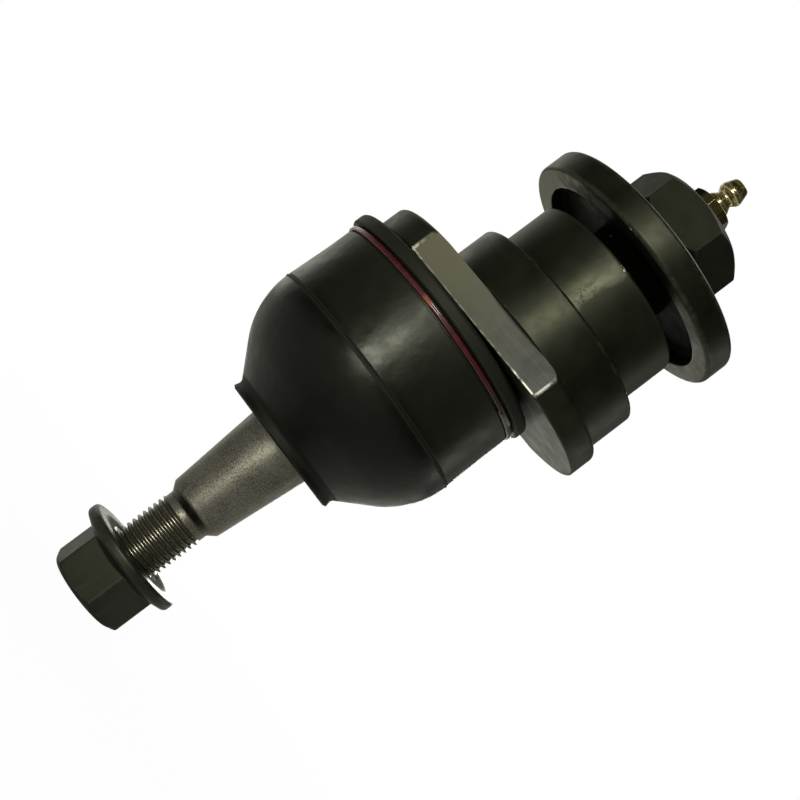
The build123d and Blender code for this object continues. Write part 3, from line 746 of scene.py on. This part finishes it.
SUNK = 1.0              # how far the step's surface runs on inside its neighbours
step_points = [
    (0, FLANGE_TOP_Z - SUNK, 0), (SHANK_R, FLANGE_TOP_Z - SUNK, 0), (SHANK_R, FLANGE_TOP_Z, 0),
    (STEP_R, FLANGE_TOP_Z, 0.25), (STEP_R, 0, 0.8), (SHANK_R, 0, 0.3), (SHANK_R, -SUNK, 0), (0, -SUNK, 0)]
shank_points = [
    (0, -SUNK / 2, 0), (SHANK_R, -SUNK / 2, 0), (SHANK_R, 0.02, 0), (SHANK_R, SHANK_TOP_Z, 0.8),
    (NECK_R, SHANK_TOP_Z, 1.0), (NECK_R, NECK_TOP_Z, 0.6), (SHANK_THREAD_R, NECK_TOP_Z, 0.25),
    (SHANK_THREAD_R, THREAD_TOP_Z - SHANK_THREAD_EDGE, 0.15),
    (SHANK_THREAD_R - SHANK_THREAD_EDGE, THREAD_TOP_Z, 0.15), (FITTING_COLLAR_R, THREAD_TOP_Z, 0.2),
    (FITTING_HOLE_R, THREAD_TOP_Z - 1, 0), (FITTING_HOLE_R, FITTING_HOLE_Z, 0), (0, FITTING_HOLE_Z, 0)]
groove_r = COLLAR_R - BOOT_GROOVE_DEPTH
collar_points = [
    (BORE_R, COLLAR_LOW_Z, 0.3), (COLLAR_R, COLLAR_LOW_Z, 0.7),
    (COLLAR_R, BOOT_GROOVE_LOW_Z - BOOT_GROOVE_DEPTH, 0), (groove_r, BOOT_GROOVE_LOW_Z, 0.25),
    (groove_r, BOOT_GROOVE_TOP_Z, 0.25), (COLLAR_R, BOOT_GROOVE_TOP_Z + BOOT_GROOVE_DEPTH / 2, 0),
    (COLLAR_R, FLANGE_LOW_Z, 0), (POCKET_R, FLANGE_LOW_Z, 0), (POCKET_R, BORE_CONE_Z + BORE_R - POCKET_R, 0),
    (BORE_R, BORE_CONE_Z, 0), (BORE_R, SNAP_GROOVE_TOP_Z, 0), (SNAP_GROOVE_R, SNAP_GROOVE_TOP_Z, 0),
    (SNAP_GROOVE_R, SNAP_GROOVE_LOW_Z, 0), (BORE_R, SNAP_GROOVE_LOW_Z, 0)]
housing_piece = make(
    "housing_forging",
    [flange_surface(), lathe(step_points, slot=1),
     lathe(shank_points, slot=2), lathe(collar_points, BALL_X, closed=True, slot=4)],
    [forged, phosphate, shank, flat, recess_shade], "housing_body", ["housing"])
# painted shade: the shank's end and neck inside the washer's cup get the near-black cup material
for face in housing_piece.data.polygons:
    off_axis = math.hypot(face.center.x, face.center.y)
    if off_axis < 22.5 * MM and (SHANK_TOP_Z - 0.05) * MM < face.center.z < (NECK_TOP_Z + 0.1) * MM:
        face.material_index = 4
    low, high = (FLANGE_LOW_Z - 0.01) * MM, (FLANGE_TOP_Z + 0.01) * MM
    if abs(face.normal.y) > 0.5 and abs(face.center.y) > (FLAT_Y - 0.35) * MM and low < face.center.z < high:
        face.material_index = 3


# Ball stud, with its thread

def thread_surface():
    """A rolled metric thread as one continuous helix, faded out at the relief and the tip."""
    outline = [(0.0, 1.0), (0.06, 1.0), (0.12, 0.94), (0.27, 0.55), (0.42, 0.06), (0.5, 0.0), (0.58, 0.06),
               (0.73, 0.55), (0.88, 0.94), (0.94, 1.0)]
    top = RELIEF_LOW_Z + 0.6
    turns = int((top - STUD_END_Z) / PITCH) + 3
    count = 128
    grid = []
    for i in range(count + 1):
        angle = 2 * math.pi * i / count
        column = [(0.0, STUD_END_Z, 0.0)]
        for turn in range(-2, turns):
            for share, crest in outline:
                height = STUD_END_Z + PITCH * (turn + share + i / count)
                radius = THREAD_R - THREAD_DEPTH * (1 - crest)
                tip = STUD_TIP_R + max(0.0, height - STUD_END_Z)
                relief = RELIEF_R - 0.05 + (RELIEF_LOW_Z - height) if height < RELIEF_LOW_Z else 5.9
                limit = min(tip, relief)
                height = min(max(height, STUD_END_Z), top)
                column.append((min(radius, limit), height, crest if radius <= limit else 0.6))
        column.append((0.0, top, 0.0))
        grid.append([(BALL_X + r * math.cos(angle), r * math.sin(angle), z, w) for r, z, w in column])
    return {"grid": np.array(grid), "ring": False, "loop": False, "slot": 1}


flat_angle = math.degrees(math.acos(BALL_FLAT_R / BALL_R))
neck_angle = math.degrees(math.acos(STUD_NECK_R / BALL_R))
taper_top_r = TAPER_END_R + (TAPER_TOP_Z - TAPER_END_Z) * TAPER_SLOPE
stud_points = [(0, BALL_Z + math.sqrt(BALL_R ** 2 - BALL_FLAT_R ** 2), 0)]
stud_points += arc(0, BALL_Z, BALL_R, flat_angle, -neck_angle, 40)
stud_points += [
    (STUD_NECK_R, TAPER_TOP_Z + 2.5, 1.55), (taper_top_r, TAPER_TOP_Z, 0.3), (TAPER_END_R, TAPER_END_Z, 1.1),
    (RELIEF_R, RELIEF_TOP_Z, 0.6), (RELIEF_R, RELIEF_LOW_Z, 0.15), (STUD_TIP_R, RELIEF_LOW_Z - 0.3, 0),
    (0, RELIEF_LOW_Z - 0.3, 0)]
stud_piece = make(
    "threaded_ball_stud", [lathe(stud_points, BALL_X, slot=0), thread_surface()],
    [taper, threaded], "stud_body", ["ball_stud"], sharp=50)


# Nuts, washer and grease fitting

def stud_nut_points(reach):
    """The flanged nut's outline where its hexagon reaches this far from the axis."""
    bore = THREAD_R + PUSH_GAP
    end = BEARING_Z - STUD_NUT_HEIGHT
    rim = BEARING_Z - STUD_NUT_FLANGE_RIM
    chamfer = (reach - STUD_NUT_FACE_R) * math.tan(math.radians(30))
    share = (STUD_NUT_FLANGE_R - reach) / (STUD_NUT_FLANGE_R - STUD_NUT_FLATS / 2)
    return [
        (bore, BEARING_Z - 0.8, 0), (bore, end + 0.85, 0), (7.9, end, 0.15), (STUD_NUT_FACE_R, end, 0.4),
        (reach, end + chamfer, 0.9), (reach, rim - share * STUD_NUT_FLANGE_RISE, 0.4),
        (STUD_NUT_FLANGE_R, rim, 0.95), (STUD_NUT_FLANGE_R, BEARING_Z, 0.95), (8.3, BEARING_Z, 0.25)]


def lock_nut_points(reach):
    """The lock nut's outline: round collar, and corners chamfered at both ends."""
    bore = SHANK_THREAD_R + PUSH_GAP
    low, high = WASHER_TOP_Z, WASHER_TOP_Z + LOCK_NUT_HEIGHT
    low_corner = low + LOCK_NUT_COLLAR_HEIGHT + reach - LOCK_NUT_FACE_R
    high_corner = high - (reach - LOCK_NUT_FACE_R) * math.tan(math.radians(36))
    return [
        (bore, low + 0.6, 0), (10.6, low, 0), (LOCK_NUT_FACE_R, low, 0.3),
        (LOCK_NUT_FACE_R, low + LOCK_NUT_COLLAR_HEIGHT, 0.2), (reach, low_corner, 0.3),
        (reach, high_corner, 0.3), (LOCK_NUT_FACE_R, high, 0.6), (10.9, high, 0.2), (bore, high - 0.86, 0)]


def fitting_hexagon_points(reach):
    """The fitting's hexagon, with its upper corners chamfered."""
    edge = 0.12
    corner = HEX_TOP_Z - max(0, reach - 5.6) * 0.7
    return [
        (0, HEX_LOW_Z, 0), (reach - edge, HEX_LOW_Z, 0), (reach, HEX_LOW_Z + edge, 0), (reach, corner, 0.15),
        (5.2, HEX_TOP_Z, 0.1), (0, HEX_TOP_Z, 0)]


stud_nut = make(
    "flanged_nut", [hexagonal(stud_nut_points, STUD_NUT_FLATS, 0, 0.9, BALL_X)], [oxide],
    "stud_body", ["stud_nut"])
lock_nut = make(
    "arm_lock_nut", [hexagonal(lock_nut_points, LOCK_NUT_FLATS, 3.0, 0.5)], [lock_black],
    "housing_body", ["lock_nut"])
washer_bore = SHANK_THREAD_R + 0.3
washer_points = [
    (washer_bore, NECK_TOP_Z, 0.25), (CUP_R, NECK_TOP_Z, 1.2), (CUP_R, WASHER_LOW_Z, 0.4),
    (WASHER_R, WASHER_LOW_Z, 1.1), (WASHER_R, WASHER_TOP_Z, 1.1), (washer_bore, WASHER_TOP_Z, 0.25)]
washer = make(
    "arm_cup_washer", [lathe(washer_points, closed=True)], [phosphate, recess_shade, clamped_face_look],
    "housing_body", ["cup_washer"])
# painted shade: the inside of the cup gets the near-black cup material; the face that grips the arm gets the
# paler face with painted reflection
for face in washer.data.polygons:
    off_axis = math.hypot(face.center.x, face.center.y)
    if face.center.z < (NECK_TOP_Z + 0.1) * MM and off_axis < (CUP_R + 0.15) * MM:
        face.material_index = 1
    elif face.normal.z < -0.7 and off_axis < (WASHER_R - 0.7) * MM:
        face.material_index = 2

fitting_stem = [
    (0, FITTING_HOLE_Z + 0.5, 0), (FITTING_THREAD_R, FITTING_HOLE_Z + 0.5, 0),
    (FITTING_THREAD_R, THREAD_TOP_Z, 0), (FITTING_COLLAR_R, THREAD_TOP_Z, 0.2),
    (FITTING_COLLAR_R, HEX_LOW_Z + 0.25, 0), (0, HEX_LOW_Z + 0.25, 0)]
fitting_head = [
    (0, HEX_TOP_Z - 0.3, 0), (FITTING_HEAD_R, HEX_TOP_Z - 0.3, 0), (FITTING_HEAD_R, 49.9, 0.6),
    (FITTING_NECK_R, 51.6, 0.7), (FITTING_HEAD_R, 53.2, 0.4), (FITTING_HEAD_R, 54.2, 0.4),
    (FITTING_TIP_R, FITTING_TIP_Z, 0.4), (0.95, FITTING_TIP_Z, 0.12), (0.9, FITTING_TIP_Z - 0.45, 0),
    (FITTING_BORE_R, FITTING_TIP_Z - 1.0, 0), (FITTING_BORE_R, 50.6, 0), (0, 50.6, 0)]
fitting_hexagon = hexagonal(fitting_hexagon_points, FITTING_FLATS, 30, 0.22, closed=False)
fitting = make(
    "grease_fitting_body", [lathe(fitting_stem), fitting_hexagon, lathe(fitting_head, count=96)], [zinc],
    "housing_body", ["grease_fitting"])


# Boot and its wire ring

CONE_R = BOOT_R - DOME_R * (1 - math.sqrt(0.5))
CONE_Z = PARTING_Z - DOME_R * math.sqrt(0.5)
DOME_CENTRE_R = BOOT_R - DOME_R
LIP_FLOOR_Z = -63.8     # end of the boot's hollow
LIP_SEAT_R = 13.5       # pocket for the lip ring
LIP_SEAT_Z = -67.09
GRIP_R = COLLAR_R + PUSH_GAP
GRIP_GROOVE_R = GRIP_R - BOOT_GROOVE_DEPTH
GRIP_END_Z = -32.0
INNER_R = BOOT_R - BOOT_WALL
ridge_side = math.radians(-74)
boot_points = [
    (LIP_HOLE_R, LIP_Z + 1.15, 0.25), (LIP_R - 0.85, LIP_Z, 0.35), (LIP_R, LIP_Z + 0.42, 0.3),
    (WAIST_R, CONE_Z - (CONE_R - WAIST_R), 1.2)]
boot_points += arc(DOME_CENTRE_R, PARTING_Z, DOME_R, -45, -1.2, 30)
boot_points += [
    (BOOT_R + 0.01, PARTING_Z - 0.1, 0), (BOOT_R + RIDGE, PARTING_Z + 0.06, 0.1),
    (BOOT_R + RIDGE, PARTING_Z + 0.36, 0.1), (BOOT_R - 0.16, PARTING_Z + 0.60, 0.1),
    (BOOT_R - 0.02, PARTING_Z + 0.95, 0.3), (31.35, -38.9, 0), (31.17, -32.7, 0),
    (BOOT_BASE_R, WIRE_Z - WIRE_GROOVE_HALF, 0.25), (WIRE_GROOVE_R, WIRE_Z - WIRE_GROOVE_HALF, 0),
    (WIRE_GROOVE_R, WIRE_Z + WIRE_GROOVE_HALF, 0), (BEAD_R, WIRE_Z + 1.5, 0.4), (BEAD_R, BOOT_TOP_Z, 1.15),
    (GRIP_R, BOOT_TOP_Z, 0.25), (GRIP_R, -22.65, 0), (GRIP_GROOVE_R, -23.47, 0), (GRIP_GROOVE_R, -27.73, 0),
    (GRIP_R, -29.3, 0), (GRIP_R, GRIP_END_Z, 0), (INNER_R, GRIP_END_Z - (INNER_R - GRIP_R), 0),
    (INNER_R, PARTING_Z, 0)]
boot_points += arc(DOME_CENTRE_R, PARTING_Z, DOME_R - BOOT_WALL, -2, -45, 20)
boot_points += [
    (18.63, LIP_FLOOR_Z, 0), (LIP_SEAT_R, LIP_FLOOR_Z, 0), (LIP_SEAT_R, LIP_SEAT_Z, 0),
    (LIP_HOLE_R, LIP_SEAT_Z, 0)]
boot_shape = lathe(boot_points, BALL_X, closed=True, count=256, steps=5)


def trim_ridge(point):
    """Trims the parting ridge, most of all on one side."""
    height = math.hypot(point[0] - BALL_X, point[1]) - BOOT_R
    if height > 0 and abs(point[2] - PARTING_Z) < 0.9:
        facing = max(0.4, math.cos(math.atan2(point[1], point[0] - BALL_X) - ridge_side))
        trim = 1 - 0.75 * facing * height / (BOOT_R + height)
        point[0] = BALL_X + (point[0] - BALL_X) * trim
        point[1] *= trim


def dent(point):
    """Makes the free wall slightly uneven, but not where the boot is held."""
    below_grip = min(1.0, max(0.0, (-34.2 - point[2]) / 7.8))
    above_lip = min(1.0, max(0.0, (point[2] + 66.9) / 4.7))
    out = Vector((point[0] - BALL_X, point[1], 0.0)).normalized()
    depth = noise.noise(Vector(point[:3]) * 0.064) * 0.17 * below_grip * above_lip
    point[0] += out.x * depth
    point[1] += out.y * depth


for ring in boot_shape["grid"]:
    for point in ring:
        trim_ridge(point)
        dent(point)
boot = make("dust_boot", [boot_shape], [boot_rubber], None, ["boot"], sharp=50)
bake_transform(boot)

wire_path, wire_out = [], []
wire_start, wire_sweep = math.radians(-26), math.radians(733)
for share in np.linspace(0, 1, 420):
    angle = wire_start + wire_sweep * share
    raised_end = max(0.0, abs(share - 0.5) * 2 - 0.975) / 0.025
    radius = WIRE_COIL_R + 0.27 * raised_end
    height = WIRE_Z + WIRE_PITCH * (share - 0.5)
    wire_path.append((BALL_X + radius * math.cos(angle), radius * math.sin(angle), height))
    wire_out.append((math.cos(angle), math.sin(angle), 0.0))
wire = make(
    "red_wire_ring", [tube(wire_path, WIRE_R, wire_out)], [lacquer], "housing_body", ["boot_clamp_ring"])


# Pieces that keep their CAD shape

spring_look = inner_metal("spring_steel", (0.20, 0.20, 0.21), 0.3, 0.9, 0.4, 0.01)
kept = {
    "upper_seat": inner_metal("sintered_iron", (0.16, 0.15, 0.14), 0.55, 0.6, 0.35, 0.04),
    "lower_race": inner_metal("hardened_steel", (0.40, 0.40, 0.39), 0.25, 1.0, 0.5, 0.006),
    "preload_spring": spring_look,
    "snap_ring": spring_look,
    "boot_lip_ring": inner_metal("bush_plastic", (0.03, 0.03, 0.03), 0.4, 0.0, 0.5, 0.02),
    "fitting_check_ball": inner_metal("check_steel", (0.62, 0.62, 0.60), 0.14, 1.0, 0.8, 0.004),
}
for name, look in kept.items():
    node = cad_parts[name]
    for slot in node.material_slots:
        slot.material = look


# The check ball's spring, a copy of the CAD coil, which squeezes in the real fitting when the ball is pushed
# in

coil_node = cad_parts["fitting_spring"]
coil_mesh = coil_node.data.copy()
coil_mesh.transform(coil_node.matrix_world)
coil_mesh.materials.clear()
coil_mesh.materials.append(spring_look)
coil = bpy.data.objects.new("check_spring_coil", coil_mesh)
bpy.context.scene.collection.objects.link(coil)
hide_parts("fitting_spring")
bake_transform(coil)


# Floor, lamps and surroundings

FLOOR_Z = -0.1280
WARM = (1.0, 0.995, 0.88)  # colour of the lamps and of the light around the part
bpy.ops.mesh.primitive_circle_add(vertices=128, radius=30.0, fill_type="NGON", location=(0, 0, FLOOR_Z))
floor = bpy.context.object
floor.name = "floor"
paint = Look("pale_floor", (0.86, 0.86, 0.86), 0.8, specular=0.1)
paint.bump(paint.noise(20, 2), 0.05)
path = paint.node("ShaderNodeLightPath")
glow = paint.node("ShaderNodeEmission")
far = paint.node("ShaderNodeVectorMath", operation="LENGTH")
paint.feed(far.inputs[0], paint.place)
white = paint.span(far.outputs["Value"], 0.03, 0.25, 0.975, 1.0)
clear = paint.math("MULTIPLY", path.outputs["Is Camera Ray"], white)
blend = paint.node("ShaderNodeMixShader")
paint.feed(blend.inputs[0], clear)
paint.feed(blend.inputs[1], paint.shader.outputs[0])
paint.feed(blend.inputs[2], glow.outputs[0])
paint.feed(paint.tree.nodes["Material Output"].inputs["Surface"], blend.outputs[0])
floor.data.materials.append(paint.done())

world = bpy.data.worlds.new("studio")
bpy.context.scene.world = world
world.use_nodes = True
sky = world.node_tree
background = sky.nodes["Background"]
seen = sky.nodes.new("ShaderNodeBackground")
seen.inputs["Strength"].default_value = 1.0
seen.inputs["Color"].default_value = (1, 1, 1, 1)
light_path = sky.nodes.new("ShaderNodeLightPath")
either = sky.nodes.new("ShaderNodeMixShader")
sky.links.new(light_path.outputs["Is Camera Ray"], either.inputs[0])
sky.links.new(background.outputs[0], either.inputs[1])
sky.links.new(seen.outputs[0], either.inputs[2])
sky.links.new(either.outputs[0], sky.nodes["World Output"].inputs["Surface"])
background.inputs["Color"].default_value = (*WARM, 1)
direction = sky.nodes.new("ShaderNodeTexCoord")


def sky_ramp(toward, low, high, to_low, to_high):
    """A smooth rise from to_low to to_high as a ray turns towards a direction."""
    facing = sky.nodes.new("ShaderNodeVectorMath")
    facing.operation = "DOT_PRODUCT"
    sky.links.new(direction.outputs["Generated"], facing.inputs[0])
    facing.inputs[1].default_value = toward
    ramp = sky.nodes.new("ShaderNodeMapRange")
    ramp.interpolation_type = "SMOOTHSTEP"
    sky.links.new(facing.outputs["Value"], ramp.inputs["Value"])
    for key, number in (("From Min", low), ("From Max", high), ("To Min", to_low), ("To Max", to_high)):
        ramp.inputs[key].default_value = number
    return ramp.outputs["Result"]


both = sky.nodes.new("ShaderNodeMath")
both.operation = "MULTIPLY"
sky.links.new(sky_ramp((-0.25, 0.964, 0.088), 0.3, 0.95, 0.02, 0.95), both.inputs[0])
sky.links.new(sky_ramp((-0.961, -0.236, -0.141), -0.40, 0.25, 0.25, 1.0), both.inputs[1])
sky.links.new(both.outputs[0], background.inputs["Strength"])


def softbox(name, toward, distance, size, power, aim=(-0.009, 0.0, -0.035)):
    """An area lamp, (width, height) in metres, that faces the part from a direction."""
    lamp = bpy.data.lights.new(name, "AREA")
    lamp.shape = "RECTANGLE"
    lamp.size, lamp.size_y = size
    lamp.energy = power
    lamp.color = WARM
    holder = bpy.data.objects.new(name, lamp)
    way = Vector(toward).normalized()
    holder.location = Vector(aim) + way * distance
    holder.rotation_mode = "QUATERNION"
    holder.rotation_quaternion = way.to_track_quat("Z", "Y")
    holder.visible_camera = False
    bpy.context.scene.collection.objects.link(holder)


softbox("key", (0.03, -0.96, 0.20), 1.20, (0.22, 0.50), 11.0)
softbox("fill_back", (-0.15, 0.97, 0.20), 1.0, (0.25, 0.5), 4.0)
softbox("fill_left", (-0.85, 0.50, 0.10), 0.9, (0.3, 0.4), 0.3)
softbox("fill_right", (0.75, 0.65, 0.15), 0.9, (0.3, 0.4), 0.5)
softbox("fill_top", (0.0, 0.35, 0.95), 0.8, (0.4, 0.4), 1.6)

bpy.context.scene.view_settings.view_transform = "Standard"
